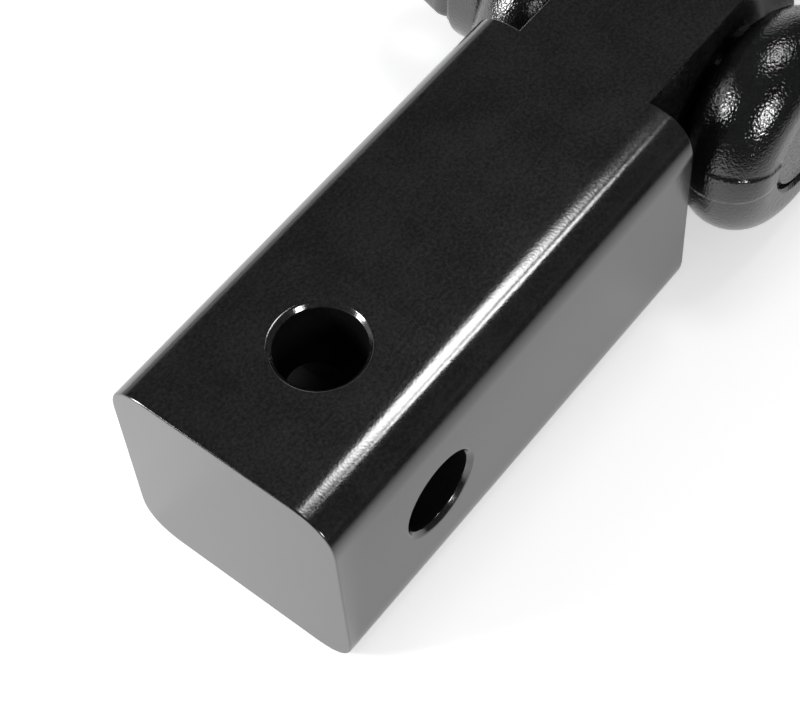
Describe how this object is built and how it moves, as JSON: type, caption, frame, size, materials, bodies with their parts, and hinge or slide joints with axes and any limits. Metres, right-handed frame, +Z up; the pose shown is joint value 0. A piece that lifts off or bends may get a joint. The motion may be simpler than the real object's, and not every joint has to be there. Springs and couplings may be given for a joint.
{
  "type": "shackle hitch",
  "caption": "Solid square shank for a receiver tube with crossing pin holes and a flat tongue, carrying a bow shackle that swings on its removable screw pin.",
  "frame": {"origin": "centre of the shank, where its two hitch pin holes cross", "axes": "+X from the inserted end towards the shackle, +Y along the shackle's pin towards its head, +Z up from the face that the hitch lies on"},
  "size_m": [0.2332, 0.1124, 0.0508],
  "materials": {
    "shank_coat": "semi-gloss black coat on a machined steel bar",
    "shackle_coat": "gloss black coat with orange peel on a forging"
  },
  "bodies": {
    "hitch": {"shank": "shank_coat"},
    "bow": {"shackle_bow": "shackle_coat"},
    "pin": {"shackle_pin": "shackle_coat"}
  },
  "joints": [
    {"name": "bow_swing", "type": "hinge", "parent": "hitch", "child": "bow", "pos_m": [0.1054, 0, 0], "axis": [0, -1, 0], "range_deg": [-117, 137]},
    {"name": "pin_withdraw", "type": "slide", "parent": "bow", "child": "pin", "axis": [0, 1, 0], "range_m": [0, 0.0508]}
  ]
}
